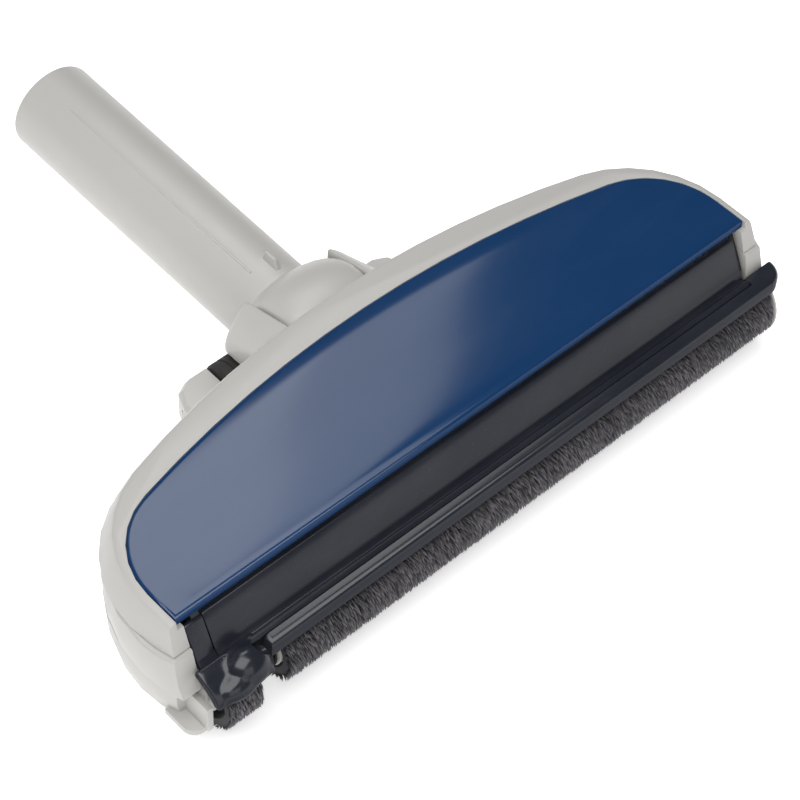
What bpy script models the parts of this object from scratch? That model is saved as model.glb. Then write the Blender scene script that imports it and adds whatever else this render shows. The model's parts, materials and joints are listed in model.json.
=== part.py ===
"""Suction floor head with a plush roller, a tilting neck and a swivelling tube.

Every size below is in millimetres; the builders turn them into metres. X runs along the
head to the right, Y to the rear towards the tube, Z up from the floor. The assembly datum is
the floor under the front edge of the top plate; the empty named datum shifts it so that the
origin is the middle of the footprint.
"""
import math

import bmesh
import bpy
from mathutils import Matrix, Vector

MM = 0.001

# Shift from the assembly datum to the middle of the footprint.
ORIGIN_X = -1.8
ORIGIN_Y = -107.95

# Plan outline of the casing at the height of its rim.
RIM_HALF_WIDTH = 135.8
RIM_REAR = 71.3
REAR_ARC = 360.0
CORNER_BLEND = 44.0
BAND_BLEND = 52.0
WALL = 3.2
INNER_HALF = 130.0

# Top plate.
PLATE_HALF_WIDTH = 132.0
PLATE_REAR = 58.0
PLATE_ARC = 430.0
PLATE_BLEND = 32.0
PLATE_BOTTOM = 56.2
PLATE_TOP = 59.6
PLATE_CROWN = 1.2

# Heights of the casing tiers.
UPPER_TOP = 59.2
UPPER_BOTTOM = 47.3
ROOF_TOP = 55.9
ROOF_BOTTOM = 53.4
BAND_BOTTOM = 28.2
LOWER_TOP = 27.9
LOWER_BOTTOM = 3.0

# Plush roller.
ROLLER_Y = -2.5
ROLLER_Z = 17.8
PLUSH_RADIUS = 16.5
ROLLER_LEFT = -99.0
ROLLER_RIGHT = 137.6
CORE_RADIUS = 9.9
SHAFT_RADIUS = 3.0
DISC_RADIUS = 17.8
DISC_LEFT = -126.2
DISC_RIGHT = -112.0
END_CAP_RADIUS = 16.5
PULLEY_X = -103.1
PULLEY_WIDTH = 5.2
ROLLER_PULLEY_RADIUS = 7.6

# Air turbine and its belt.
TURBINE_Y = 38.0
TURBINE_Z = 31.0
TURBINE_RADIUS = 12.5
TURBINE_LEFT = -92.0
TURBINE_RIGHT = -66.0
TURBINE_PULLEY_RADIUS = 3.8
BELT_THICKNESS = 1.3
BLADE_COUNT = 10

# Neck ball, its yoke and the tube.
BALL_Y = 79.0
BALL_Z = 27.0
BALL_RADIUS = 25.5
BALL_FLAT = 18.3
YOKE_INNER = 18.7
YOKE_HALF = 30.2
YOKE_REAR = 99.0
YOKE_RADIUS = 29.5
YOKE_FLARE = 35.0
YOKE_FLARE_Y = 75.0
YOKE_FRONT = 46.0
TUBE_Z = 18.8
TUBE_TILT = math.radians(1.3)
TUBE_START = 91.0
TUBE_END = 238.0
TUBE_RADIUS = 17.9
TUBE_END_RADIUS = 18.2
TUBE_WALL = 2.0
SPIGOT_RADIUS = 14.4
SPIGOT_BORE = 12.6

# Wheels.
REAR_WHEEL_RADIUS = 10.5
REAR_WHEEL_Y = 92.2
REAR_WHEEL_INNER = 21.0
REAR_WHEEL_OUTER = 36.0
AXLE_RADIUS = 2.0
SOLE_WHEEL_RADIUS = 5.5
SOLE_WHEEL_X = 96.0
SOLE_WHEEL_Y = 29.0
SOLE_WHEEL_WIDTH = 9.0

# Sole screws, as (x, y).
SCREWS = ((-112.0, 40.0), (112.0, 40.0), (-60.0, 30.0), (60.0, 30.0), (-72.0, 54.0),
          (72.0, 54.0))

GAP = 0.35


# ---------------------------------------------------------------- scene and finishes

def clear_scene():
    """Remove what the scene holds, so that the model is built alone."""
    for item in list(bpy.data.objects):
        bpy.data.objects.remove(item, do_unlink=True)


def new_collection(name):
    """Add a collection to the scene."""
    group = bpy.data.collections.new(name)
    bpy.context.scene.collection.children.link(group)
    return group


def finish(name, colour, roughness, metallic=0.0):
    """Make one Principled finish."""
    material = bpy.data.materials.new(name)
    material.use_nodes = True
    shader = material.node_tree.nodes["Principled BSDF"]
    shader.inputs["Base Color"].default_value = (*colour, 1.0)
    shader.inputs["Roughness"].default_value = roughness
    shader.inputs["Metallic"].default_value = metallic
    return material


clear_scene()
PARTS = new_collection("vacuum_floor_head")
CUTTERS = new_collection("cutters")
DATUM = bpy.data.objects.new("datum", None)
DATUM.location = (ORIGIN_X * MM, ORIGIN_Y * MM, 0.0)
PARTS.objects.link(DATUM)

GREY = finish("grey_plastic", (0.58, 0.57, 0.54), 0.42)
BLUE = finish("blue_gloss", (0.012, 0.045, 0.16), 0.12)
SMOKE = finish("smoke_plastic", (0.035, 0.04, 0.055), 0.10)
BLACK = finish("black_plastic", (0.015, 0.015, 0.016), 0.5)
PLUSH = finish("plush_pile", (0.055, 0.052, 0.058), 0.95)
RUBBER = finish("black_rubber", (0.02, 0.02, 0.018), 0.75)
STEEL = finish("steel", (0.55, 0.55, 0.56), 0.3, 1.0)
WHITE = finish("white_acetal", (0.75, 0.74, 0.70), 0.45)


# ---------------------------------------------------------------- builders

def add_object(name, mesh, material, pivot=(0, 0, 0), cutter=False):
    """Link a mesh as a part or as a hidden cutter, with its origin at the pivot."""
    item = bpy.data.objects.new(name, mesh)
    item.parent = DATUM
    item.location = Vector(pivot) * MM
    if cutter:
        item.hide_render = True
        item.display_type = "WIRE"
        CUTTERS.objects.link(item)
    else:
        mesh.materials.append(material)
        PARTS.objects.link(item)
    return item


def mesh_from(shape, name, pivot=(0, 0, 0)):
    """Turn a bmesh in millimetres into a mesh in metres about the pivot."""
    bmesh.ops.translate(shape, verts=shape.verts, vec=-Vector(pivot))
    bmesh.ops.scale(shape, verts=shape.verts, vec=(MM, MM, MM))
    bmesh.ops.recalc_face_normals(shape, faces=shape.faces)
    mesh = bpy.data.meshes.new(name)
    shape.to_mesh(mesh)
    shape.free()
    return mesh


def box(name, low, high, material=None, pivot=(0, 0, 0), cutter=False, bevel=0.0):
    """A box between two corners, with its edges rounded when bevel is above zero."""
    shape = bmesh.new()
    bmesh.ops.create_cube(shape, size=1.0)
    size = Vector(high) - Vector(low)
    bmesh.ops.scale(shape, verts=shape.verts, vec=size)
    bmesh.ops.translate(shape, verts=shape.verts, vec=(Vector(high) + Vector(low)) / 2)
    item = add_object(name, mesh_from(shape, name, pivot), material, pivot, cutter)
    if bevel:
        round_edges(item, bevel)
    return item


def round_edges(item, width, segments=2):
    """Round an object's sharp edges."""
    modifier = item.modifiers.new("round", "BEVEL")
    modifier.width = width * MM
    modifier.segments = segments
    modifier.limit_method = "ANGLE"
    modifier.angle_limit = math.radians(40)


AXIS_TURN = {
    "X": Matrix.Rotation(math.pi / 2, 4, "Y"),
    "Y": Matrix.Rotation(-math.pi / 2, 4, "X"),
    "Z": Matrix.Identity(4),
}


def rod(name, axis, centre, start, end, radius, material=None, pivot=(0, 0, 0),
        cutter=False, end_radius=None, segments=32, turn=None):
    """A round bar or cone along an axis, from start to end on that axis."""
    shape = bmesh.new()
    bmesh.ops.create_cone(shape, cap_ends=True, segments=segments, radius1=radius,
                          radius2=radius if end_radius is None else end_radius,
                          depth=end - start)
    bmesh.ops.translate(shape, verts=shape.verts, vec=(0, 0, (start + end) / 2))
    bmesh.ops.transform(shape, verts=shape.verts, matrix=AXIS_TURN[axis])
    if turn is not None:
        bmesh.ops.transform(shape, verts=shape.verts, matrix=turn)
    bmesh.ops.translate(shape, verts=shape.verts, vec=centre)
    return add_object(name, mesh_from(shape, name, pivot), material, pivot, cutter)


def turned(name, profile, axis, centre, material, steps=32, closed=True, turn=None):
    """A turned piece: a profile of (radius, place along the axis) swept by a Screw modifier."""
    mesh = bpy.data.meshes.new(name)
    shape = bmesh.new()
    verts = [shape.verts.new((radius * MM, 0.0, along * MM)) for radius, along in profile]
    for first, second in zip(verts, verts[1:]):
        shape.edges.new((first, second))
    if closed:
        shape.edges.new((verts[-1], verts[0]))
    shape.to_mesh(mesh)
    shape.free()
    item = add_object(name, mesh, material, centre)
    matrix = AXIS_TURN[axis] if turn is None else turn @ AXIS_TURN[axis]
    item.rotation_euler = matrix.to_euler()
    screw = item.modifiers.new("screw", "SCREW")
    screw.axis = "Z"
    screw.angle = 2 * math.pi
    screw.steps = steps
    screw.render_steps = steps
    screw.use_merge_vertices = True
    screw.merge_threshold = 0.00001
    return item


def ring(name, axis, centre, start, end, outer, inner, material, steps=32, turn=None, chamfer=0.0):
    """A turned ring or sleeve with plain or chamfered outer edges."""
    edge = max(chamfer, 0.01)
    profile = [(inner, end), (outer - edge, end), (outer, end - edge),
               (outer, start + edge), (outer - edge, start), (inner, start)]
    return turned(name, profile, axis, centre, material, steps, turn=turn)


def cut(item, *tools, operation="DIFFERENCE"):
    """Add exact Boolean modifiers to an object, one for each tool."""
    for tool in tools:
        modifier = item.modifiers.new(tool.name, "BOOLEAN")
        modifier.operation = operation
        modifier.solver = "EXACT"
        modifier.object = tool


def loft(name, loops, material=None, pivot=(0, 0, 0), cutter=False):
    """A closed body through loops that have the same number of points."""
    shape = bmesh.new()
    rows = [[shape.verts.new(point) for point in loop] for loop in loops]
    count = len(rows[0])
    for low, high in zip(rows, rows[1:]):
        for index in range(count):
            after = (index + 1) % count
            shape.faces.new((low[index], low[after], high[after], high[index]))
    shape.faces.new(list(reversed(rows[0])))
    shape.faces.new(rows[-1])
    return add_object(name, mesh_from(shape, name, pivot), material, pivot, cutter)


def half_outline(half_width, rear, front, arc, blend, taper=0.0, jog=None):
    """Right half of a plan outline, from its front end to the middle of the rear.

    The side is straight or drawn in by taper at the front, a blend arc joins it to the wide
    rear arc. With jog, the first two points stand at that half width, as an end pillar.
    """
    arc_centre = rear - arc
    blend_x = half_width - blend
    blend_y = arc_centre + math.sqrt((arc - blend) ** 2 - blend_x ** 2)
    join = math.atan2(blend_y - arc_centre, blend_x)
    points = []
    reach = blend_y - front
    for along in (0.0, min(5.0, 0.4 * reach), min(8.0, 0.7 * reach), reach):
        share = 1.0 - along / reach
        points.append((half_width - taper * share ** 2, front + along))
    if jog is not None:
        points[0] = (jog, front)
        points[1] = (jog, front + 5.0)
    for step in range(1, 7):
        angle = join * step / 6
        points.append((blend_x + blend * math.cos(angle), blend_y + blend * math.sin(angle)))
    for step in range(1, 7):
        angle = join + (math.pi / 2 - join) * step / 6
        points.append((arc * math.cos(angle), arc_centre + arc * math.sin(angle)))
    return points


def both_sides(half):
    """Mirror a half outline to the left and join the two at the rear."""
    return half + [(-x, y) for x, y in reversed(half[:-1])]


def casing_half(grow, front, taper, jog=None, blend=CORNER_BLEND):
    """Half outline of the casing, moved outwards by grow from the rim."""
    return half_outline(RIM_HALF_WIDTH + grow, RIM_REAR + grow, front,
                        REAR_ARC + grow, blend + grow, taper, jog)


def wall_loops(tiers, blend=CORNER_BLEND):
    """Loops of a wall that is open at the front, one for each (height, grow, front) tier."""
    loops = []
    for height, grow, front, taper in tiers:
        outer = both_sides(casing_half(grow, front, taper, blend=blend))
        inner = both_sides(casing_half(grow - WALL, front, 0.0, jog=INNER_HALF, blend=blend))
        loops.append([(x, y, height) for x, y in outer + list(reversed(inner))])
    return loops


def plate_outline(grow, front):
    """Whole outline of the top plate, moved outwards by grow."""
    return both_sides(half_outline(PLATE_HALF_WIDTH + grow, PLATE_REAR + grow, front,
                                   PLATE_ARC + grow, PLATE_BLEND + grow))


def extruded(name, points, axis, start, end, material=None, cutter=False, pivot=(0, 0, 0)):
    """A flat outline given thickness along X or Z."""
    if axis == "Z":
        loops = [[(x, y, height) for x, y in points] for height in (start, end)]
    else:
        loops = [[(place, y, z) for y, z in points] for place in (start, end)]
    return loft(name, loops, material, pivot, cutter)


# ---------------------------------------------------------------- shared cutters

def yoke_cone(name, margin, front, rear, material=None):
    """Flared round outline of the neck yoke, used for the yoke and for its opening."""
    slope = (YOKE_FLARE - YOKE_RADIUS) / (YOKE_REAR - YOKE_FLARE_Y)
    front_radius = YOKE_RADIUS + slope * (YOKE_REAR - front) + margin
    rear_radius = YOKE_RADIUS + slope * (YOKE_REAR - rear) + margin
    return rod(name, "Y", (0, 0, TUBE_Z), front, rear, front_radius, material,
               cutter=material is None, end_radius=rear_radius, segments=48)


def ball_cutter(name, radius):
    """Clearance sphere round the neck ball."""
    shape = bmesh.new()
    bmesh.ops.create_uvsphere(shape, u_segments=32, v_segments=16, radius=radius)
    bmesh.ops.rotate(shape, verts=shape.verts, matrix=Matrix.Rotation(math.pi / 2, 3, "Y"))
    bmesh.ops.translate(shape, verts=shape.verts, vec=(0, BALL_Y, BALL_Z))
    return add_object(name, mesh_from(shape, name), None, cutter=True)


def yoke_sides(name, half):
    """Boxes that cut the yoke's cone flat at its left and right."""
    return [box("%s_%d" % (name, side), (min(side * half, side * 60), 30, -40),
                (max(side * half, side * 60), 120, 90), cutter=True) for side in (-1, 1)]


YOKE_OPENING = yoke_cone("yoke_opening", 0.5, 66.0, 110.0)
cut(YOKE_OPENING, *yoke_sides("opening_side", YOKE_HALF + 0.5))
BALL_CLEARANCE = ball_cutter("ball_clearance", BALL_RADIUS + 0.5)
ROLLER_EXIT = rod("roller_exit", "X", (0, ROLLER_Y, ROLLER_Z), 129.0, 150.0, PLUSH_RADIUS + 1.0,
                  cutter=True)


# ---------------------------------------------------------------- casing

def upper_casing():
    """Roof, rim and upper side walls, open at the front for the window."""
    tiers = ((UPPER_BOTTOM, 3.8, -4.6, 3.0), (52.0, 1.9, -3.0, 1.6), (57.0, 0.0, -1.4, 0.4),
             (58.6, -1.1, -1.1, 0.0), (UPPER_TOP, -2.6, -0.9, 0.0))
    loops = []
    for height, grow, front, taper in tiers:
        loops.append([(x, y, height) for x, y in both_sides(casing_half(grow, front, taper))])
    item = loft("upper_casing", loops, GREY)
    pocket = extruded("plate_pocket", plate_outline(0.35, -8.0), "Z", ROOF_TOP, 66.0, cutter=True)
    cavity_plan = both_sides(casing_half(-1.6, 6.0, 0.0))
    cavity = extruded("upper_cavity", cavity_plan, "Z", 40.0, ROOF_BOTTOM, cutter=True)
    front = box("front_opening", (-INNER_HALF, -20, 40), (INNER_HALF, 7, ROOF_BOTTOM), cutter=True)
    lip = box("roof_front", (-INNER_HALF, -20, 50), (INNER_HALF, 3.2, 66), cutter=True)
    cut(item, pocket, cavity, front, lip, YOKE_OPENING, BALL_CLEARANCE)
    return item


def top_plate():
    """Glossy plate with a low crown and a bevelled edge, seated in the rim."""
    loops = []
    for height, grow, front in ((PLATE_BOTTOM, -0.8, 0.8), (PLATE_BOTTOM + 0.6, 0.0, 0.0),
                                (PLATE_TOP - 0.5, 0.0, 0.0), (PLATE_TOP, -0.5, 0.4)):
        loops.append([(x, y, height) for x, y in plate_outline(grow, front)])
    middle = [(x * 0.6, 24.0 + (y - 24.0) * 0.6) for x, y in plate_outline(-0.5, 0.4)]
    loops.append([(x, y, PLATE_TOP + PLATE_CROWN) for x, y in middle])
    return loft("top_plate", loops, BLUE)


def bumpers():
    """Middle tier that stands out round the head, one piece on each side of the neck."""
    tiers = ((BAND_BOTTOM, 4.3, -9.4, 3.2), (29.2, 5.0, -9.6, 3.2), (37.0, 5.6, -8.0, 3.2),
             (46.2, 5.0, -5.9, 3.2), (46.9, 4.3, -5.4, 3.2))
    for side, name in ((-1, "left"), (1, "right")):
        item = loft("bumper_" + name, wall_loops(tiers, BAND_BLEND), GREY)
        low, high = sorted((-side * 0.1, -side * 200))
        half = box("bumper_half_" + name, (low, -40, 0), (high, 120, 80), cutter=True)
        cut(item, half, YOKE_OPENING, BALL_CLEARANCE, ROLLER_EXIT)


def lower_casing():
    """Lowest tier with the wheel blocks at the rear and the guard tab at the left."""
    tiers = ((LOWER_BOTTOM, -3.2, -2.0, 2.0), (4.4, -1.2, -3.0, 2.4), (9.0, 1.4, -3.6, 2.8),
             (18.0, 3.0, -4.0, 3.0), (LOWER_TOP, 3.4, -4.4, 3.0))
    item = loft("lower_casing", wall_loops(tiers), GREY)
    blocks = []
    for side in (-1, 1):
        plan = [(side * x, y) for x, y in ((36.6, 68.0), (54.0, 68.0), (54.0, 92.0),
                                           (51.0, 99.0), (46.0, 101.5), (36.6, 101.5))]
        if side < 0:
            plan.reverse()
        low = [(x, y, 3.4) for x, y in plan]
        mid = [(x, y, 14.6) for x, y in plan]
        top = [(x - side * 1.6 * (abs(x) > 45), y - 0.8 * (y > 95), 16.4) for x, y in plan]
        blocks.append(loft("wheel_block_%s" % ("left" if side < 0 else "right"),
                           [low, mid, top], cutter=True))
    tab = box("guard_tab", (-132.4, -15.5, 12.0), (-130.1, 0.5, 24.4), cutter=True)
    sill = box("guard_sill", (-137.6, -13.6, 9.6), (-130.1, 0.5, 12.4), cutter=True)
    floor_plan = both_sides(casing_half(-1.5, 4.0, 0.0))
    floor = extruded("casing_floor", floor_plan, "Z", 6.2, 8.4, cutter=True)
    cut(floor, box("floor_front", (-200, -30, -5), (200, 20.2, 30), cutter=True))
    cut(item, floor, *blocks, tab, sill, operation="UNION")
    axle_hole = rod("axle_hole", "X", (0, REAR_WHEEL_Y, REAR_WHEEL_RADIUS), -53.3, 53.3,
                    AXLE_RADIUS + GAP, cutter=True, segments=16)
    ball_room = rod("floor_ball_room", "Z", (0, BALL_Y, 0), 0, 20, 30.0, cutter=True)
    pockets = [box("floor_pocket_%d" % side, (side * SOLE_WHEEL_X - 7, SOLE_WHEEL_Y - 7, 0),
                   (side * SOLE_WHEEL_X + 7, SOLE_WHEEL_Y + 7, 14), cutter=True)
               for side in (-1, 1)]
    posts = [rod("floor_hole_%d" % index, "Z", (x, y, 0), 0, 14, 1.9, cutter=True, segments=12)
             for index, (x, y) in enumerate(SCREWS)]
    cut(item, YOKE_OPENING, BALL_CLEARANCE, ROLLER_EXIT, axle_hole, ball_room, *pockets, *posts)
    return item


def neck_yoke():
    """Two cheeks that hold the neck ball, joined by a wall round the duct."""
    item = yoke_cone("neck_yoke", 0.0, YOKE_FRONT, YOKE_REAR, GREY)
    below = box("yoke_below", (-60, 30, -40), (60, 120, 22.2), cutter=True)
    above = box("yoke_above", (-60, 30, ROOF_BOTTOM - 0.4), (60, 120, 90), cutter=True)
    slot = box("yoke_slot", (-YOKE_INNER, 58, 0), (YOKE_INNER, 120, 90), cutter=True)
    sides = yoke_sides("yoke_side", YOKE_HALF)
    duct = rod("yoke_duct", "Y", (0, 0, BALL_Z), 40, 60, 12.5, cutter=True)
    cut(item, below, above, slot, *sides, duct, BALL_CLEARANCE)
    return item


# ---------------------------------------------------------------- front window, lip and guard

FRONT_LEFT = -121.5


def front_window():
    """Raked smoke window with the groove and ridge along its foot."""
    outer = [(-0.4, 53.1), (-6.4, 39.6), (-9.2, 38.8), (-9.8, 37.8), (-10.6, 37.9), (-12.0, 38.2)]
    inner = [(-11.4, 37.1), (-10.0, 36.7), (-7.8, 37.1), (-5.0, 38.4), (1.8, 53.1)]
    return extruded("front_window", outer + inner, "X", FRONT_LEFT, 127.5, SMOKE)


def front_lip():
    """Lip that carries on from the ridge over the roller and turns round its right end."""
    section = ((0.0, 37.7), (0.6, 36.9), (0.6, 34.0), (1.7, 32.4), (2.4, 31.2),
               (1.0, 31.2), (-0.4, 33.4), (-1.0, 35.7))
    base = -13.6
    radius = 7.0
    right = 142.6 - radius
    path = [((-105.6, base), (0.0, -1.0)), ((20.0, base), (0.0, -1.0))]
    for step in range(0, 7):
        angle = -math.pi / 2 + math.pi / 2 * step / 6
        normal = (math.cos(angle), math.sin(angle))
        path.append(((right + radius * normal[0], base + radius + radius * normal[1]), normal))
    loops = []
    for (x, y), (nx, ny) in path:
        loops.append([(x + nx * out, y + ny * out, z) for out, z in section])
    return loft("front_lip", loops, SMOKE)


def belt_guard():
    """Rounded guard over the belt and the left roller disc."""
    outer = DISC_RADIUS + 4.4
    inner = DISC_RADIUS + 1.4
    first = math.radians(119)
    last = math.radians(156)
    arc = [first + (last - first) * step / 8 for step in range(9)]
    section = [(ROLLER_Y + outer * math.cos(a), ROLLER_Z + outer * math.sin(a)) for a in arc]
    section += [(ROLLER_Y + inner * math.cos(a), ROLLER_Z + inner * math.sin(a))
                for a in reversed(arc)]
    item = extruded("belt_guard", section, "X", -124.8, -106.2, SMOKE)
    round_edges(item, 0.8)
    return item


def roller_end_cap():
    """Round cap that closes the side of the head where the roller is drawn out."""
    return turned("roller_end_cap", [(SHAFT_RADIUS + GAP, 139.4), (13.6, 139.4), (END_CAP_RADIUS, 138.6),
                                     (END_CAP_RADIUS, 137.9), (SHAFT_RADIUS + GAP, 137.9)],
                  "X", (0, ROLLER_Y, ROLLER_Z), GREY)


# ---------------------------------------------------------------- inside the head

def chamber_wall():
    """Wall behind the roller with the duct port and the belt slot."""
    item = box("chamber_wall", (-126.5, 17.6, 6.4), (127.5, 19.4, 52.8), BLACK)
    port = rod("duct_port", "Y", (0, 0, BALL_Z), 10, 30, 12.5, cutter=True)
    slot = box("belt_slot", (PULLEY_X - 4.5, 10, 13), (PULLEY_X + 4.5, 30, 38), cutter=True)
    cut(item, port, slot)
    return item


def end_plates():
    """Black plates that close the two ends of the roller chamber above the roller."""
    left = extruded("left_end_plate", [(1.5, 52.8), (-3.2, 44.0), (-5.5, 39.2), (17.2, 39.2),
                                       (17.2, 52.8)], "X", -126.6, -124.8, BLACK)
    right = extruded("right_end_plate", [(1.5, 52.8), (-3.2, 44.0), (-5.5, 39.2), (17.2, 39.2),
                                         (17.2, 52.8)], "X", 127.9, 129.6, BLACK)
    return left, right


def suction_duct():
    """Round duct from the roller chamber to the neck."""
    return ring("suction_duct", "Y", (0, 0, BALL_Z), 19.8, 45.6, 14.6, 12.6, BLACK)


def sole_plate():
    """Floor plate behind the roller with pockets for the sole wheels and screw holes."""
    plan = both_sides(half_outline(125.6, 63.5, 4.0, REAR_ARC - 8, 36.0))
    item = extruded("sole_plate", plan, "Z", 3.2, 5.8, BLACK)
    cut(item, box("sole_front", (-200, -30, -5), (200, 22.2, 30), cutter=True))
    for index, side in enumerate((-1, 1)):
        x = side * SOLE_WHEEL_X
        cut(item, box("sole_pocket_%d" % index, (x - 6.5, SOLE_WHEEL_Y - 6.5, 0),
                      (x + 6.5, SOLE_WHEEL_Y + 6.5, 10), cutter=True))
    for index, (x, y) in enumerate(SCREWS):
        cut(item, rod("screw_hole_%d" % index, "Z", (x, y, 0), 0, 10, 1.9, cutter=True,
                      segments=12))
    return item


def screws():
    """Screws that hold the sole plate to the frame."""
    for index, (x, y) in enumerate(SCREWS):
        turned("sole_screw_%d" % (index + 1),
               [(0.0, 11.0), (1.3, 10.2), (1.5, 2.95), (2.9, 2.7), (2.4, 1.7), (0.0, 1.7)],
               "Z", (x, y, 0), STEEL, steps=14, closed=False)


def lip_seal():
    """Rubber strip behind the roller."""
    return extruded("rear_lip_seal", [(18.2, 1.0), (19.2, 0.9), (21.6, 5.9), (18.2, 5.9)],
                    "X", -124.0, 125.0, RUBBER)


# ---------------------------------------------------------------- roller

def roller():
    """Plush roller with its core, shaft, belt pulley and left disc."""
    centre = (0, ROLLER_Y, ROLLER_Z)
    ring("roller_plush", "X", centre, ROLLER_LEFT, ROLLER_RIGHT, PLUSH_RADIUS,
         CORE_RADIUS + GAP, PLUSH, chamfer=2.5)
    ring("roller_core", "X", centre, ROLLER_LEFT + 0.4, ROLLER_RIGHT - 0.6, CORE_RADIUS,
         SHAFT_RADIUS + GAP, WHITE)
    ring("end_disc_plush", "X", centre, DISC_LEFT, DISC_RIGHT, DISC_RADIUS, CORE_RADIUS + GAP,
         PLUSH, chamfer=2.5)
    ring("end_disc_core", "X", centre, DISC_LEFT + 0.4, DISC_RIGHT - 0.4, CORE_RADIUS,
         SHAFT_RADIUS + GAP, WHITE)
    rod("roller_shaft", "X", centre, -129.4, 139.4, SHAFT_RADIUS, STEEL, pivot=centre,
        segments=20)
    half = PULLEY_WIDTH / 2 + 1.0
    rim = ROLLER_PULLEY_RADIUS + 1.8
    turned("roller_pulley",
           [(SHAFT_RADIUS + GAP, half), (rim, half), (rim, half - 0.8),
            (ROLLER_PULLEY_RADIUS, half - 1.0), (ROLLER_PULLEY_RADIUS, 1.0 - half),
            (rim, 0.8 - half), (rim, -half), (SHAFT_RADIUS + GAP, -half)],
           "X", (PULLEY_X, ROLLER_Y, ROLLER_Z), BLACK)


def roller_bushes():
    """Plain bushes at the ends of the roller shaft."""
    centre = (0, ROLLER_Y, ROLLER_Z)
    ring("roller_bush_left", "X", centre, -129.7, -126.6, 6.0, SHAFT_RADIUS + GAP, WHITE, 24)


# ---------------------------------------------------------------- turbine and belt

def turbine():
    """Air turbine wheel on its shaft with the small belt pulley."""
    centre = (0, TURBINE_Y, TURBINE_Z)
    hub = rod("turbine_wheel", "X", centre, TURBINE_LEFT + 4, TURBINE_RIGHT - 4, 5.0, BLACK,
              pivot=centre, segments=20)
    for index in range(BLADE_COUNT):
        angle = 2 * math.pi * index / BLADE_COUNT
        shape = bmesh.new()
        bmesh.ops.create_cube(shape, size=1.0)
        bmesh.ops.scale(shape, verts=shape.verts,
                        vec=(TURBINE_RIGHT - TURBINE_LEFT - 9, 1.2, TURBINE_RADIUS - 4.0))
        bmesh.ops.translate(shape, verts=shape.verts, vec=(0, 0, (TURBINE_RADIUS + 4.0) / 2))
        bmesh.ops.rotate(shape, verts=shape.verts, matrix=Matrix.Rotation(angle, 3, "X"))
        bmesh.ops.translate(shape, verts=shape.verts,
                            vec=((TURBINE_LEFT + TURBINE_RIGHT) / 2, TURBINE_Y, TURBINE_Z))
        name = "turbine_blade_%d" % index
        blade = add_object(name, mesh_from(shape, name), None, cutter=True)
        cut(hub, blade, operation="UNION")
    bore = rod("turbine_bore", "X", centre, -120, -40, 1.5 + GAP, cutter=True, segments=16)
    cut(hub, bore)
    rod("turbine_shaft", "X", centre, -107.0, -60.0, 1.5, STEEL, pivot=centre, segments=16)
    half = PULLEY_WIDTH / 2 + 0.8
    turned("turbine_pulley",
           [(1.5 + GAP, half), (5.6, half), (5.6, half - 0.6),
            (TURBINE_PULLEY_RADIUS, half - 0.8), (TURBINE_PULLEY_RADIUS, 0.8 - half),
            (5.6, 0.6 - half), (5.6, -half), (1.5 + GAP, -half)],
           "X", (PULLEY_X, TURBINE_Y, TURBINE_Z), WHITE, steps=24)


def turbine_housing():
    """Barrel round the turbine with an air inlet at the front and an outlet to the duct."""
    centre = (0, TURBINE_Y, TURBINE_Z)
    item = ring("turbine_housing", "X", centre, TURBINE_LEFT, TURBINE_RIGHT, 16.0, 14.2, BLACK)
    inlet = box("turbine_inlet", (TURBINE_LEFT + 4, 19.6, TURBINE_Z - 6),
                (TURBINE_RIGHT - 4, 30, TURBINE_Z + 6), cutter=True)
    outlet = box("turbine_outlet", (TURBINE_LEFT + 4, 44, TURBINE_Z - 6),
                 (TURBINE_RIGHT - 4, 60, TURBINE_Z + 6), cutter=True)
    cut(item, inlet, outlet)
    for name, start in (("turbine_bush_left", TURBINE_LEFT - 2.2),
                        ("turbine_bush_right", TURBINE_RIGHT + 0.4)):
        ring(name, "X", centre, start, start + 1.8, 15.8, 1.5 + GAP, WHITE, 24)


def drive_belt():
    """Flat belt round the two pulleys."""
    across = math.hypot(TURBINE_Y - ROLLER_Y, TURBINE_Z - ROLLER_Z)
    lean = math.atan2(TURBINE_Z - ROLLER_Z, TURBINE_Y - ROLLER_Y)
    big = ROLLER_PULLEY_RADIUS + GAP
    small = TURBINE_PULLEY_RADIUS + GAP
    spread = math.asin((big - small) / across)

    def loop(extra):
        """One side of the belt, offset outwards by extra."""
        points = []
        for step in range(17):
            angle = lean + math.pi / 2 - spread + (math.pi + 2 * spread) * step / 16
            points.append((ROLLER_Y + (big + extra) * math.cos(angle),
                           ROLLER_Z + (big + extra) * math.sin(angle)))
        for step in range(13):
            angle = lean - math.pi / 2 + spread + (math.pi - 2 * spread) * step / 12
            points.append((TURBINE_Y + (small + extra) * math.cos(angle),
                           TURBINE_Z + (small + extra) * math.sin(angle)))
        return points

    outer = extruded("drive_belt", loop(BELT_THICKNESS), "X", PULLEY_X - 2.2, PULLEY_X + 2.2,
                     RUBBER)
    inner = extruded("belt_inside", loop(0.0), "X", PULLEY_X - 9, PULLEY_X + 9, cutter=True)
    cut(outer, inner)
    return outer


# ---------------------------------------------------------------- neck

NECK_TURN = Matrix.Rotation(TUBE_TILT, 4, "X")
NECK_PIVOT = (0.0, BALL_Y, BALL_Z)
TUBE_AXIS = (0.0, BALL_Y, TUBE_Z)
RAIL_ANGLE = math.radians(-19)
HOOK_ANGLE = math.radians(8)


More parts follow.
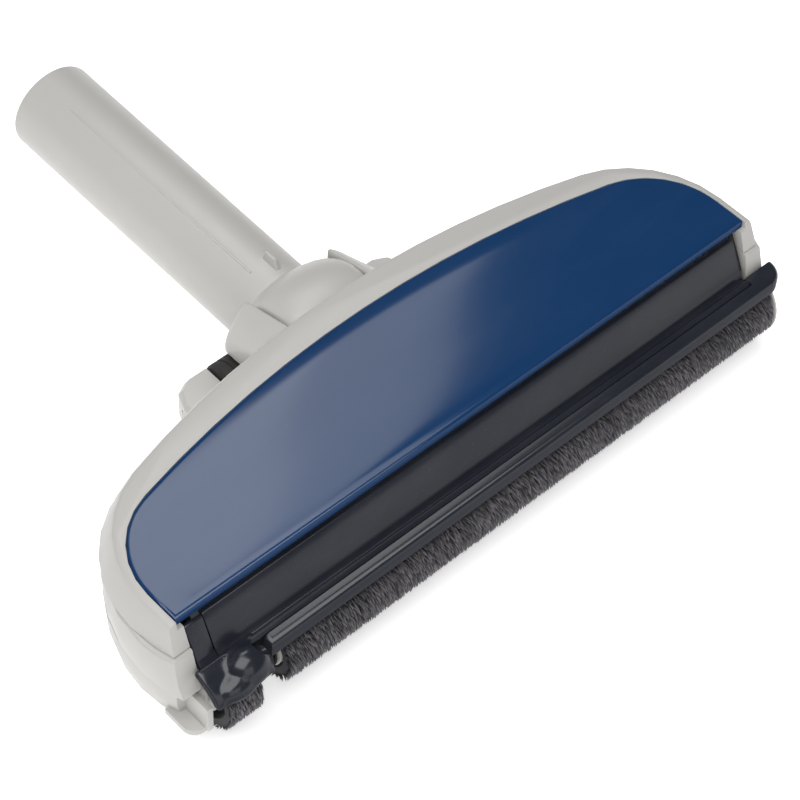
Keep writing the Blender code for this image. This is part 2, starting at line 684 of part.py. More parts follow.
def neck_ball():
    """Ball of the neck with flat sides, a bore for the air and a seat for the tube."""
    shape = bmesh.new()
    bmesh.ops.create_uvsphere(shape, u_segments=40, v_segments=20, radius=BALL_RADIUS)
    bmesh.ops.rotate(shape, verts=shape.verts, matrix=Matrix.Rotation(math.pi / 2, 3, "Y"))
    bmesh.ops.translate(shape, verts=shape.verts, vec=NECK_PIVOT)
    item = add_object("neck_ball", mesh_from(shape, "neck_ball", NECK_PIVOT), GREY, NECK_PIVOT)
    for side in (-1, 1):
        low = min(side * BALL_FLAT, side * 60)
        high = max(side * BALL_FLAT, side * 60)
        cut(item, box("ball_flat_%d" % side, (low, 20, -40), (high, 140, 90), cutter=True))
    low_side = box("ball_low_side", (-60, 20, -40), (60, 140, 2.2), cutter=True)
    front_bore = rod("ball_front_bore", "Y", (0, BALL_Y, BALL_Z), -40, 0, SPIGOT_BORE,
                     cutter=True)
    rear_bore = rod("ball_rear_bore", "Y", TUBE_AXIS, -6, 60, SPIGOT_RADIUS + GAP,
                    cutter=True, turn=NECK_TURN)
    seat = rod("tube_seat", "Y", TUBE_AXIS, TUBE_START - BALL_Y - GAP, 60,
               TUBE_RADIUS + 0.25, cutter=True, turn=NECK_TURN)
    pins = rod("ball_pin_hole", "X", NECK_PIVOT, -40, 40, 3.0 + GAP, cutter=True, segments=20)
    cut(item, low_side, front_bore, rear_bore, seat, pins)
    return item


def neck_pins():
    """Pins on which the neck ball tilts."""
    for side, name in ((-1, "neck_pin_left"), (1, "neck_pin_right")):
        start, end = sorted((side * 15.4, side * 18.4))
        rod(name, "X", NECK_PIVOT, start, end, 3.0, STEEL, segments=20)


def neck_tube():
    """Tube that swivels in the ball: spigot, shoulder, tapering outside and raised line."""
    start = TUBE_START - BALL_Y
    end = TUBE_END - BALL_Y
    bore = TUBE_END_RADIUS - TUBE_WALL
    item = turned("neck_tube",
                  [(bore, end), (TUBE_END_RADIUS - 0.7, end), (TUBE_END_RADIUS, end - 0.7),
                   (TUBE_RADIUS, start + 14), (TUBE_RADIUS, start), (SPIGOT_RADIUS, start),
                   (SPIGOT_RADIUS, -4.0), (SPIGOT_BORE, -4.0), (SPIGOT_BORE, start + 4),
                   (bore - 0.6, start + 12)],
                  "Y", TUBE_AXIS, GREY, steps=48, turn=NECK_TURN)
    rail = box("tube_rail", (-0.7, 112.0, TUBE_Z + 17.0), (0.7, 218.0, TUBE_Z + 18.5),
               pivot=TUBE_AXIS, cutter=True)
    hook = box("tube_hook", (-1.8, 103.0, TUBE_Z + 17.0), (1.8, 115.5, TUBE_Z + 20.6),
               pivot=TUBE_AXIS, cutter=True)
    for piece, angle in ((rail, RAIL_ANGLE), (hook, HOOK_ANGLE)):
        piece.rotation_mode = "YXZ"
        piece.rotation_euler = (TUBE_TILT, angle, 0.0)
        cut(item, piece, operation="UNION")


def neck_seal():
    """Ring seal between the duct and the ball."""
    return ring("neck_seal", "Y", (0, 0, BALL_Z), 46.0, 48.4, 12.2, 10.8, RUBBER)


# ---------------------------------------------------------------- wheels

def rear_wheels():
    """Wheels behind the head, each on an axle in its block."""
    for side, name in ((-1, "left"), (1, "right")):
        centre = (0, REAR_WHEEL_Y, REAR_WHEEL_RADIUS)
        start, end = sorted((side * REAR_WHEEL_INNER, side * REAR_WHEEL_OUTER))
        ring("rear_wheel_" + name, "X", centre, start, end, REAR_WHEEL_RADIUS,
             AXLE_RADIUS + GAP, RUBBER, 36, chamfer=1.2)
        start, end = sorted((side * 19.4, side * 53.0))
        rod("rear_axle_" + name, "X", centre, start, end, AXLE_RADIUS, STEEL, segments=16)


def sole_wheels():
    """Small wheels under the sole, each on its pin."""
    for side, name in ((-1, "left"), (1, "right")):
        centre = (side * SOLE_WHEEL_X, SOLE_WHEEL_Y, SOLE_WHEEL_RADIUS)
        half = SOLE_WHEEL_WIDTH / 2
        ring("sole_wheel_" + name, "X", centre, -half, half, SOLE_WHEEL_RADIUS, 1.5 + GAP,
             WHITE, 24, chamfer=0.8)
        rod("sole_axle_" + name, "X", centre, -6.1, 6.1, 1.5, STEEL, segments=14)


upper_casing()
top_plate()
bumpers()
lower_casing()
neck_yoke()
front_window()
front_lip()
belt_guard()
roller_end_cap()
chamber_wall()
end_plates()
suction_duct()
sole_plate()
screws()
lip_seal()
roller()
roller_bushes()
turbine()
turbine_housing()
drive_belt()
neck_ball()
neck_pins()
neck_tube()
neck_seal()
rear_wheels()
sole_wheels()
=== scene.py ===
import json
import logging
import math
from contextlib import contextmanager
from dataclasses import dataclass
from enum import Enum
from typing import Callable, Iterator, Sequence

import bpy
import numpy as np
from mathutils import Matrix, Vector


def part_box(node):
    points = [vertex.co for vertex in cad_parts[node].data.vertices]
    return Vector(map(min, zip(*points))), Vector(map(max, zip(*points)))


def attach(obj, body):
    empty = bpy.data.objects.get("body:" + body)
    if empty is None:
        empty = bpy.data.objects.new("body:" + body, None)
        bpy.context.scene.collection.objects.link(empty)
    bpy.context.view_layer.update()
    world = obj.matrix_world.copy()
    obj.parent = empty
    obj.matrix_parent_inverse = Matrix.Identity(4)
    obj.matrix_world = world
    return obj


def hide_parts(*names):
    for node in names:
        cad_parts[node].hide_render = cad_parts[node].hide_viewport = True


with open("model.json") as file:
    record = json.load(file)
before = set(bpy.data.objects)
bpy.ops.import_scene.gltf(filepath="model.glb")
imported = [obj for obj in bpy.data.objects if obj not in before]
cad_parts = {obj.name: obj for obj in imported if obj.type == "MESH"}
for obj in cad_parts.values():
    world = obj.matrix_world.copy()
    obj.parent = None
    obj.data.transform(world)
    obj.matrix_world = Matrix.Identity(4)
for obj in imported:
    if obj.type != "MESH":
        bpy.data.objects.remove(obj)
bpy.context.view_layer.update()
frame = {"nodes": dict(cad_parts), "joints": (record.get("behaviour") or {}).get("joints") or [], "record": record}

MM = 0.001
FULL_TURN = 2 * math.pi
NECK_SETBACK = 79.0
TOUCHING = 0.00001
LOG = logging.getLogger("floor_head")

Point2 = tuple[float, float]
Point3 = tuple[float, float, float]
Colour = tuple[float, float, float]


class Slot(Enum):
    """Material slots of the record."""

    GREY = "grey_plastic"
    BLUE = "blue_gloss"
    SMOKE = "smoke_plastic"
    BLACK = "black_plastic"
    PLUSH = "plush_pile"
    RUBBER = "black_rubber"
    STEEL = "steel"
    WHITE = "white_acetal"


class Lie(Enum):
    """Direction that a flat outline's thickness, or a turned piece's axis, runs along."""

    X = Matrix(((0, 0, 1, 0), (1, 0, 0, 0), (0, 1, 0, 0), (0, 0, 0, 1)))
    Y = Matrix(((0, 1, 0, 0), (0, 0, 1, 0), (1, 0, 0, 0), (0, 0, 0, 1)))
    Z = Matrix(((1, 0, 0, 0), (0, 1, 0, 0), (0, 0, 1, 0), (0, 0, 0, 1)))


# ---------------------------------------------------------------- shader expressions

class Value:
    """A number socket that can be used in an expression."""

    def __init__(self, recipe: "Recipe", socket: bpy.types.NodeSocket) -> None:
        """Wrap a socket of the material that a recipe is making."""
        self.recipe = recipe
        self.socket = socket

    def combine(self, operation: str, first: object, second: object) -> "Value":
        """Add one Math node.

        Args:
            operation: The Math node's operation.
            first: Value or number for the first input.
            second: Value or number for the second input.

        Returns:
            The node's result.
        """
        return self.recipe.node("ShaderNodeMath", {"operation": operation}, {0: first, 1: second})

    def __add__(self, other: object) -> "Value":
        """Sum."""
        return self.combine("ADD", self, other)

    def __sub__(self, other: object) -> "Value":
        """Difference."""
        return self.combine("SUBTRACT", self, other)

    def __mul__(self, other: object) -> "Value":
        """Product."""
        return self.combine("MULTIPLY", self, other)

    def __pow__(self, other: object) -> "Value":
        """Power."""
        return self.combine("POWER", self, other)

    __radd__ = __add__
    __rmul__ = __mul__


class Recipe:
    """Makes one node material."""

    def __init__(self, name: str) -> None:
        """Start a material with a Principled surface."""
        self.material = bpy.data.materials.new(name)
        self.material.use_nodes = True
        self.tree = self.material.node_tree
        self.surface = self.tree.nodes["Principled BSDF"]

    def node(self, kind: str, settings: dict, inputs: dict, output: object = 0) -> Value:
        """Add a node.

        Args:
            kind: The node's type.
            settings: Properties, set before the sockets; "stops" fills a colour ramp.
            inputs: Socket name or number to a Value or a plain value.
            output: Name or number of the socket to return.

        Returns:
            The chosen output.
        """
        made = self.tree.nodes.new(kind)
        for key, value in settings.items():
            if key == "stops":
                for index, (place, tone) in enumerate(value):
                    elements = made.color_ramp.elements
                    stop = elements[index] if index < 2 else elements.new(place)
                    stop.position = place
                    stop.color = (*tone, 1.0) if isinstance(tone, tuple) else (tone, tone, tone, 1.0)
            else:
                setattr(made, key, value)
        for key, value in inputs.items():
            if isinstance(value, Value):
                self.tree.links.new(value.socket, made.inputs[key])
            else:
                made.inputs[key].default_value = value
        return Value(self, made.outputs[output])

    def coords(self, stretch: Point3 = (1.0, 1.0, 1.0)) -> Value:
        """Object coordinates, scaled along each axis."""
        place = self.node("ShaderNodeTexCoord", {}, {}, "Object")
        return self.node("ShaderNodeMapping", {}, {"Vector": place, "Scale": stretch})

    def noise(self, place: Value, per_metre: float, detail: float = 3.0,
              rough: float = 0.55) -> Value:
        """Noise with about so many features to the metre, from 0 to 1."""
        return self.node("ShaderNodeTexNoise", {}, {"Vector": place, "Scale": per_metre,
                                                   "Detail": detail, "Roughness": rough})

    def ramp(self, value: Value, stops: Sequence[tuple[float, object]]) -> Value:
        """Colour ramp over a value."""
        return self.node("ShaderNodeValToRGB", {"stops": stops}, {"Fac": value})

    def blend(self, share: object, first: object, second: object) -> Value:
        """Mix two colours by a share."""
        tone = [value if isinstance(value, Value) else (*value, 1.0) for value in (first, second)]
        return self.node("ShaderNodeMix", {"data_type": "RGBA"},
                         {"Factor": share, 6: tone[0], 7: tone[1]}, 2)

    def bump(self, height: Value, depth: float, strength: float) -> Value:
        """Bump of a real depth in metres."""
        return self.node("ShaderNodeBump", {},
                         {"Height": height, "Distance": depth, "Strength": strength})

    def feed(self, **sockets: object) -> bpy.types.Material:
        """Set the surface's sockets, with underscores for spaces in their names.

        Args:
            sockets: Socket name to a Value, a number or a colour.

        Returns:
            The finished material.
        """
        for key, value in sockets.items():
            socket = self.surface.inputs[key.replace("_", " ")]
            if isinstance(value, Value):
                self.tree.links.new(value.socket, socket)
            elif isinstance(value, tuple):
                socket.default_value = (*value, 1.0)
            else:
                socket.default_value = value
        return self.material


def tinted(colour: Colour, factor: float) -> Colour:
    """A colour made darker or lighter by a factor."""
    return tuple(min(1.0, part * factor) for part in colour)


@dataclass(frozen=True)
class Moulded:
    """Satin moulded plastic with a spark-eroded grain and faint flow shading."""

    name: str
    colour: Colour
    roughness: float = 0.46
    grain: float = 0.000025
    grain_pitch: float = 1900.0
    flow_pitch: float = 16.0
    cloud_pitch: float = 120.0
    rub_pitch: float = 210.0
    variation: float = 0.03
    cloud_share: float = 0.25
    scuff_share: float = 0.06

    def make(self) -> bpy.types.Material:
        """Build the material."""
        recipe = Recipe(self.name)
        place = recipe.coords()
        flow = recipe.noise(recipe.coords((1.0, 2.2, 3.0)), self.flow_pitch, 4.0)
        cloud = recipe.noise(place, self.cloud_pitch, 3.0)
        grain = recipe.noise(place, self.grain_pitch, 2.0, 0.7)
        rub = recipe.noise(recipe.coords((1.0, 7.0, 7.0)), self.rub_pitch, 5.0, 0.7)
        scuff = recipe.ramp(rub, ((0.60, 0.0), (0.74, 1.0)))
        base = recipe.blend(flow, tinted(self.colour, 1 - self.variation),
                            tinted(self.colour, 1 + self.variation))
        base = recipe.blend(cloud * self.cloud_share, base, tinted(self.colour, 0.93))
        base = recipe.blend(scuff * self.scuff_share, base, tinted(self.colour, 0.72))
        rough = self.roughness - 0.05 + 0.12 * cloud - 0.08 * scuff
        return recipe.feed(Base_Color=base, Roughness=rough,
                           Normal=recipe.bump(grain, self.grain, 0.55))


@dataclass(frozen=True)
class Polished:
    """Hard gloss plastic: a clear coat over a deep tint, with a slight orange-peel swell."""

    name: str
    colour: Colour
    roughness: float = 0.3
    coat: float = 1.0
    coat_roughness: float = 0.05
    swell: float = 0.00002
    dust: float = 0.05
    specular: float = 0.2
    low_coat: float = 1.0
    depth_pitch: float = 9.0
    swell_pitch: float = 55.0
    smear_pitch: float = 26.0
    speck_pitch: float = 1500.0

    def make(self) -> bpy.types.Material:
        """Build the material."""
        recipe = Recipe(self.name)
        place = recipe.coords()
        depth = recipe.noise(place, self.depth_pitch, 2.0)
        swell = recipe.noise(place, self.swell_pitch, 2.0)
        smear = recipe.noise(recipe.coords((1.0, 3.0, 2.0)), self.smear_pitch, 5.0, 0.65)
        specks = recipe.ramp(recipe.noise(place, self.speck_pitch, 1.0), ((0.70, 0.0), (0.78, 1.0)))
        wiped = recipe.ramp(smear, ((0.42, 0.0), (0.72, 1.0)))
        base = recipe.blend(depth, tinted(self.colour, 0.9), tinted(self.colour, 1.12))
        base = recipe.blend(wiped * self.dust, base, (0.32, 0.34, 0.37))
        base = recipe.blend(specks * (self.dust * 1.6), base, (0.5, 0.5, 0.5))
        rough = self.roughness + 0.10 * wiped + 0.2 * specks
        facing = recipe.node("ShaderNodeNewGeometry", {}, {}, "Normal")
        upward = recipe.node("ShaderNodeSeparateXYZ", {}, {"Vector": facing}, "Z")
        coat = recipe.ramp(upward, ((0.1, self.coat * self.low_coat), (0.8, self.coat)))
        return recipe.feed(Base_Color=base, Roughness=rough, Coat_Weight=coat,
                           Coat_Roughness=self.coat_roughness, Specular_IOR_Level=self.specular,
                           Normal=recipe.bump(swell, self.swell, 0.5))


@dataclass(frozen=True)
class Pile:
    """Dense short pile with painted shade: each tuft darkens towards its root and is lighter at its tip, and has a
    tone of its own.
    """

    name: str
    # root and tip colours: painted shade deep in the pile, and the lighter tip where light reaches the fibre ends
    root: Colour
    lit_tip: Colour
    patch_pitch: float = 110.0

    def make(self) -> bpy.types.Material:
        """Build the material; it reads the tufts' along and tone attributes."""
        recipe = Recipe(self.name)
        along = recipe.node("ShaderNodeAttribute", {"attribute_name": "along"}, {}, "Fac")
        tone = recipe.node("ShaderNodeAttribute", {"attribute_name": "tone"}, {}, "Fac")
        patch = recipe.noise(recipe.coords(), self.patch_pitch, 4.0, 0.6)
        # painted shade along each tuft, darker towards the root; the tuft tone and the patches are real variation
        share = along ** 1.5 * (0.25 + 1.0 * tone) * (0.35 + 1.3 * patch)
        base = recipe.blend(share, self.root, self.lit_tip)
        return recipe.feed(Base_Color=base, Roughness=0.62 + 0.25 * patch, Sheen_Weight=0.25,
                           Sheen_Roughness=0.4, Sheen_Tint=(0.75, 0.75, 0.85))


@dataclass(frozen=True)
class Rubber:
    """Matt rubber with a mould bloom and rubbed patches."""

    name: str
    colour: Colour
    bloom_pitch: float = 240.0
    pore_pitch: float = 2600.0

    def make(self) -> bpy.types.Material:
        """Build the material."""
        recipe = Recipe(self.name)
        place = recipe.coords()
        bloom = recipe.noise(place, self.bloom_pitch, 5.0, 0.6)
        pores = recipe.noise(place, self.pore_pitch, 2.0)
        base = recipe.blend(bloom, self.colour, tinted(self.colour, 2.1))
        return recipe.feed(Base_Color=base, Roughness=0.62 + 0.25 * bloom,
                           Normal=recipe.bump(pores, 0.00003, 0.6))


@dataclass(frozen=True)
class Brushed:
    """Drawn or ground steel with fine lines along X and dulled patches."""

    name: str
    colour: Colour
    line_pitch: float = 5200.0
    stain_pitch: float = 300.0

    def make(self) -> bpy.types.Material:
        """Build the material."""
        recipe = Recipe(self.name)
        lines = recipe.noise(recipe.coords((0.04, 1.0, 1.0)), self.line_pitch, 2.0, 0.6)
        stain = recipe.noise(recipe.coords(), self.stain_pitch, 4.0)
        base = recipe.blend(stain, self.colour, tinted(self.colour, 0.72))
        return recipe.feed(Base_Color=base, Metallic=1.0, Roughness=0.2 + 0.22 * stain + 0.1 * lines,
                           Normal=recipe.bump(lines, 0.00001, 0.5))


FINISHES = {
    Slot.GREY: Moulded("warm grey moulding", (0.53, 0.52, 0.495), 0.37),
    Slot.BLUE: Polished("deep blue gloss", (0.006, 0.040, 0.128), coat_roughness=0.11, dust=0.012,
                        specular=0.03, low_coat=0.05),
    Slot.SMOKE: Polished("smoke gloss", (0.017, 0.019, 0.028), 0.34, coat_roughness=0.2,
                         dust=0.03, specular=0.03, low_coat=0.04),
    Slot.BLACK: Moulded("black moulding", (0.014, 0.014, 0.015), 0.42, variation=0.1),
    # pile: the near-black root colour is painted shade deep in the pile, and the tip colour is lighter
    Slot.PLUSH: Pile("charcoal pile", (0.007, 0.007, 0.008), (0.23, 0.22, 0.24)),
    Slot.RUBBER: Rubber("black rubber", (0.014, 0.014, 0.013)),
    Slot.STEEL: Brushed("ground steel", (0.56, 0.56, 0.57)),
    Slot.WHITE: Moulded("white acetal", (0.78, 0.77, 0.73), 0.38, grain_pitch=900.0),
}
MATERIALS: dict[Slot, bpy.types.Material] = {}


# ---------------------------------------------------------------- modelling steps

class Bench:
    """Modelling steps that act on one mesh at a time."""

    @staticmethod
    def hold(*items: bpy.types.Object) -> None:
        """Select these objects only, with the first one active."""
        bpy.ops.object.select_all(action="DESELECT")
        for item in items:
            item.select_set(True)
        bpy.context.view_layer.objects.active = items[0]

    @staticmethod
    @contextmanager
    def editing(item: bpy.types.Object, every: bool = True) -> Iterator[None]:
        """Open a mesh in edit mode, with everything selected when every is true."""
        Bench.hold(item)
        bpy.ops.object.mode_set(mode="EDIT")
        if every:
            bpy.ops.mesh.select_all(action="SELECT")
        yield
        bpy.ops.object.mode_set(mode="OBJECT")

    @staticmethod
    def choose(item: bpy.types.Object, test: Callable[[bpy.types.MeshPolygon], bool]) -> None:
        """Select the faces that pass a test, ready for the next edit.

        Args:
            item: The mesh object.
            test: Says of a face whether it is wanted.
        """
        bpy.context.tool_settings.mesh_select_mode = (False, False, True)
        mesh = item.data
        mesh.vertices.foreach_set("select", [False] * len(mesh.vertices))
        mesh.edges.foreach_set("select", [False] * len(mesh.edges))
        mesh.polygons.foreach_set("select", [test(face) for face in mesh.polygons])

    @staticmethod
    def outline(name: str, points: Sequence[Point2], thickness: float = 0.0) -> bpy.types.Object:
        """A closed flat outline made a mesh at the origin.

        Args:
            name: The piece's name.
            points: The outline's points in millimetres.
            thickness: Total thickness of a filled outline; nought leaves it a bare line.

        Returns:
            The mesh object, in metres.
        """
        line = bpy.data.curves.new(name, "CURVE")
        line.dimensions = "2D"
        line.fill_mode = "BOTH" if thickness else "NONE"
        line.extrude = thickness * MM / 2
        spline = line.splines.new("POLY")
        spline.points.add(len(points) - 1)
        for slot, (x, y) in zip(spline.points, points):
            slot.co = (x * MM, y * MM, 0.0, 1.0)
        spline.use_cyclic_u = True
        item = bpy.data.objects.new(name, line)
        bpy.context.scene.collection.objects.link(item)
        Bench.hold(item)
        bpy.ops.object.convert(target="MESH")
        item = bpy.context.view_layer.objects.active
        Bench.weld(item)
        return item

    @staticmethod
    def weld(item: bpy.types.Object, distance: float = TOUCHING) -> None:
        """Merge points that lie together."""
        with Bench.editing(item):
            bpy.ops.mesh.remove_doubles(threshold=distance)

    @staticmethod
    def outward(item: bpy.types.Object) -> None:
        """Turn every face outwards."""
        with Bench.editing(item):
            bpy.ops.mesh.normals_make_consistent(inside=False)

    @staticmethod
    def place(item: bpy.types.Object, matrix: Matrix) -> None:
        """Move a mesh to its place and leave its object at the origin."""
        Bench.hold(item)
        item.matrix_world = matrix
        bpy.ops.object.transform_apply(location=True, rotation=True, scale=True)

    @staticmethod
    def plate(name: str, points: Sequence[Point2], low: float, high: float, lie: Lie,
              centre: Vector) -> bpy.types.Object:
        """A filled outline with its thickness along an axis, from low to high millimetres."""
        item = Bench.outline(name, points, high - low)
        shift = Matrix.Translation((0.0, 0.0, (low + high) / 2 * MM))
        Bench.place(item, Matrix.Translation(centre) @ lie.value @ shift)
        Bench.outward(item)
        return item

    @staticmethod
    def turned(name: str, profile: Sequence[Point2], lie: Lie, centre: Vector, steps: int = 64,
               tilt: float = 0.0) -> bpy.types.Object:
        """A closed profile of (radius, place along the axis) spun round an axis.

        Args:
            name: The piece's name.
            profile: Profile in millimetres.
            lie: The axis.
            centre: A point on the axis, in metres.
            steps: Facets round the axis.
            tilt: Turn of the axis about X, in radians.

        Returns:
            The mesh object.
        """
        item = Bench.outline(name, [(along, radius) for radius, along in profile])
        with Bench.editing(item):
            bpy.ops.mesh.spin(steps=steps, angle=FULL_TURN, center=(0, 0, 0), axis=(1, 0, 0))
            bpy.ops.mesh.select_all(action="SELECT")
            bpy.ops.mesh.remove_doubles(threshold=TOUCHING)
            bpy.ops.mesh.normals_make_consistent(inside=False)
        along = {Lie.X: Matrix.Identity(4), Lie.Y: Matrix.Rotation(math.pi / 2, 4, "Z"),
                 Lie.Z: Matrix.Rotation(-math.pi / 2, 4, "Y")}[lie]
        Bench.place(item, Matrix.Translation(centre) @ Matrix.Rotation(tilt, 4, "X") @ along)
        return item

    @staticmethod
    def bevel(item: bpy.types.Object, width: float, segments: int = 3, angle: float = 28.0) -> None:
        """Round the edges sharper than an angle, by a width in millimetres."""
        modifier = item.modifiers.new("round", "BEVEL")
        modifier.width = width * MM
        modifier.segments = segments
        modifier.limit_method = "ANGLE"
        modifier.angle_limit = math.radians(angle)
        modifier.miter_outer = "MITER_ARC"
        Bench.hold(item)
        bpy.ops.object.modifier_apply(modifier=modifier.name)

    @staticmethod
    def soften(item: bpy.types.Object, width: float, test: Callable[[Vector, Vector], bool],
               segments: int = 5) -> None:
        """Round the edges that pass a test of their middle and direction.

        Args:
            item: The mesh object.
            width: Width of the rounding in millimetres.
            test: Says of an edge's middle and direction whether it is wanted.
            segments: Faces across the rounding.
        """
        mesh = item.data
        bpy.context.tool_settings.mesh_select_mode = (False, True, False)
        mesh.polygons.foreach_set("select", [False] * len(mesh.polygons))
        mesh.vertices.foreach_set("select", [False] * len(mesh.vertices))
        for edge in mesh.edges:
            first, second = (mesh.vertices[index].co for index in edge.vertices)
            edge.select = test((first + second) / 2, (second - first).normalized())
        with Bench.editing(item, False):
            bpy.ops.mesh.bevel(offset=width * MM, segments=segments, profile=0.5, clamp_overlap=True)

    @staticmethod
    def melt(item: bpy.types.Object, voxel: float, turns: int) -> None:
        """Round a solid all over, as a soft moulding.

        Args:
            item: The mesh object, one or more closed solids.
            voxel: Size of the new faces in millimetres.
            turns: How many times the surface is smoothed.
        """
        remesh = item.modifiers.new("remesh", "REMESH")
        remesh.mode = "VOXEL"
        remesh.voxel_size = voxel * MM
        smooth = item.modifiers.new("smooth", "SMOOTH")
        smooth.iterations = turns
        smooth.factor = 0.5
        Bench.hold(item)
        bpy.ops.object.modifier_apply(modifier=remesh.name)
        bpy.ops.object.modifier_apply(modifier=smooth.name)

    @staticmethod
    def block(name: str, low: Vector, high: Vector) -> bpy.types.Object:
        """A box between two corners, used to cut with."""
        bpy.ops.object.select_all(action="DESELECT")
        bpy.ops.mesh.primitive_cube_add(size=1.0, location=(low + high) / 2, scale=high - low)
        item = bpy.context.view_layer.objects.active
        item.name = name
        Bench.hold(item)
        bpy.ops.object.transform_apply(location=True, rotation=True, scale=True)
        return item

    @staticmethod
    def round_bar(name: str, centre: Vector, lie: Lie, radii: Point2, depth: float,
                  tilt: float = 0.0) -> bpy.types.Object:
        """A round bar or cone about its middle, with its two radii and depth in millimetres."""
        bpy.ops.object.select_all(action="DESELECT")
        bpy.ops.mesh.primitive_cone_add(vertices=96, radius1=radii[0] * MM, radius2=radii[1] * MM,
                                        depth=depth * MM)
        item = bpy.context.view_layer.objects.active
        item.name = name
        Bench.place(item, Matrix.Translation(centre) @ Matrix.Rotation(tilt, 4, "X") @ lie.value)
        return item

    @staticmethod
    def egg(name: str, centre: Vector, radii: Point3) -> bpy.types.Object:
        """An ellipsoid with its radii in millimetres."""
        bpy.ops.object.select_all(action="DESELECT")
        bpy.ops.mesh.primitive_uv_sphere_add(segments=40, ring_count=20, radius=1.0, location=centre,
                                             scale=tuple(radius * MM for radius in radii))
        item = bpy.context.view_layer.objects.active
        item.name = name
        Bench.hold(item)
        bpy.ops.object.transform_apply(location=True, rotation=True, scale=True)
        return item

    @staticmethod
    def combine(item: bpy.types.Object, tool: bpy.types.Object, operation: str) -> None:
        """Cut a mesh with a tool, or join the two, and drop the tool."""
        modifier = item.modifiers.new("combine", "BOOLEAN")
        modifier.operation = operation
        modifier.solver = "EXACT"
        modifier.object = tool
        Bench.hold(item)
        bpy.ops.object.modifier_apply(modifier=modifier.name)
        bpy.data.objects.remove(tool, do_unlink=True)

    @staticmethod
    def from_node(name: str, node: str, flat: float = 0.6) -> bpy.types.Object:
        """A copy of a node's solid with its loose triangles merged into whole faces.

        Args:
            name: The new piece's name.
            node: The node that is copied.
            flat: Faces that meet at less than this many degrees become one.

        Returns:
            The mesh object.
        """
        mesh = frame["nodes"][node].data.copy()
        mesh.materials.clear()
        item = bpy.data.objects.new(name, mesh)
        bpy.context.scene.collection.objects.link(item)
        Bench.weld(item, TOUCHING / 2)
        with Bench.editing(item):
            bpy.ops.mesh.dissolve_limited(angle_limit=math.radians(flat))
        return item


class Workshop:
    """Gives finished pieces their place in the assembly and counts them."""

    def __init__(self) -> None:
        """Find the datum: the middle of the head at the front edge of the top plate."""
        tilt = next(joint for joint in frame["joints"] if joint["name"] == "neck_tilt")
        x, y, _ = tilt["pos_m"]
        self.datum = Vector((x, y - NECK_SETBACK * MM, 0.0))
        self.made = 0

    def at(self, x: float, y: float, z: float) -> Vector:
        """A point given in millimetres from the datum, in metres in the frame."""
        return self.datum + Vector((x, y, z)) * MM

    def finish(self, item: bpy.types.Object, slot: Slot, body: str, *nodes: str,
               smooth: float = 32.0) -> None:
        """Dress a piece, fix it to its body and hide the nodes that it replaces.

        Args:
            item: The finished mesh.
            slot: The record's material slot.
            body: The body that it moves with.
            nodes: The nodes it replaces.
            smooth: Edges sharper than this many degrees stay crisp.
        """
        Bench.hold(item)
        bpy.ops.object.shade_smooth_by_angle(angle=math.radians(smooth))
        item.data.materials.clear()
        item.data.materials.append(MATERIALS[slot])
        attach(item, body)
        if nodes:
            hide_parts(*nodes)
        self.made += 1
        LOG.info("%s: %d faces on %s", item.name, len(item.data.polygons), body)

    def refine(self, name: str, node: str, slot: Slot, body: str, width: float) -> None:
        """Replace a node by its own solid with its edges rounded by so many millimetres."""
        item = Bench.from_node(name, node)
        Bench.bevel(item, width)
        self.finish(item, slot, body, node)


def arc_points(centre: Point2, radius: float, first: float, last: float,
               steps: int) -> list[Point2]:
    """Points along an arc, with its angles in degrees."""
    angles = [math.radians(first + (last - first) * step / steps) for step in range(steps + 1)]
    return [(centre[0] + radius * math.cos(a), centre[1] + radius * math.sin(a)) for a in angles]


def bowed_outline(half_width: float, rear: float, arc: float, blend: float) -> list[Point2]:
    """Plan outline with a straight front, and sides that blend into a wide rear arc.

    Args:
        half_width: Half of the width.
        rear: Place of the rear's middle.
        arc: Radius of the rear.
        blend: Radius between the sides and the rear.

    Returns:
        The closed outline, anticlockwise from the right front corner.
    """
    low = rear - arc
    blend_x = half_width - blend
    blend_y = low + math.sqrt((arc - blend) ** 2 - blend_x ** 2)
    join = math.degrees(math.atan2(blend_y - low, blend_x))
    half = [(half_width, 0.0)] + arc_points((blend_x, blend_y), blend, 0.0, join, 14)
    half += arc_points((0.0, low), arc, join, 90.0, 22)[1:]
    return half + [(-x, y) for x, y in reversed(half[:-1])]


# ---------------------------------------------------------------- sub-assemblies

@dataclass
class Shells:
    """Upper casing, bumper tier, roller end cap and lower casing."""

    shop: Workshop
    edge: float = 1.3
    cap_edge: float = 0.3
    lower_edge: float = 0.45
    sill_corner: Point3 = (-137.6, -13.6, 11.0)
    sill_rounding: float = 5.5

    def build(self) -> None:
        """Refine each shell from its solid."""
        for name, node, width in (("casing_upper_shell", "upper_casing", self.edge),
                                  ("bumper_shell_left", "bumper_left", self.edge),
                                  ("bumper_shell_right", "bumper_right", self.edge),
                                  ("end_cap_shell", "roller_end_cap", self.cap_edge)):
            self.shop.refine(name, node, Slot.GREY, "head", width)
        self.lower()

    def lower(self) -> None:
        """Round the sill's outer corner, then the rest of the lower casing."""
        corner = self.shop.at(*self.sill_corner)
        item = Bench.from_node("casing_lower_shell", "lower_casing")
        Bench.soften(item, self.sill_rounding,
                     lambda spot, along: (spot - corner).length < 1.2 * MM and abs(along.z) > 0.9, 6)
        Bench.bevel(item, self.lower_edge)
        self.shop.finish(item, Slot.GREY, "head", "lower_casing")


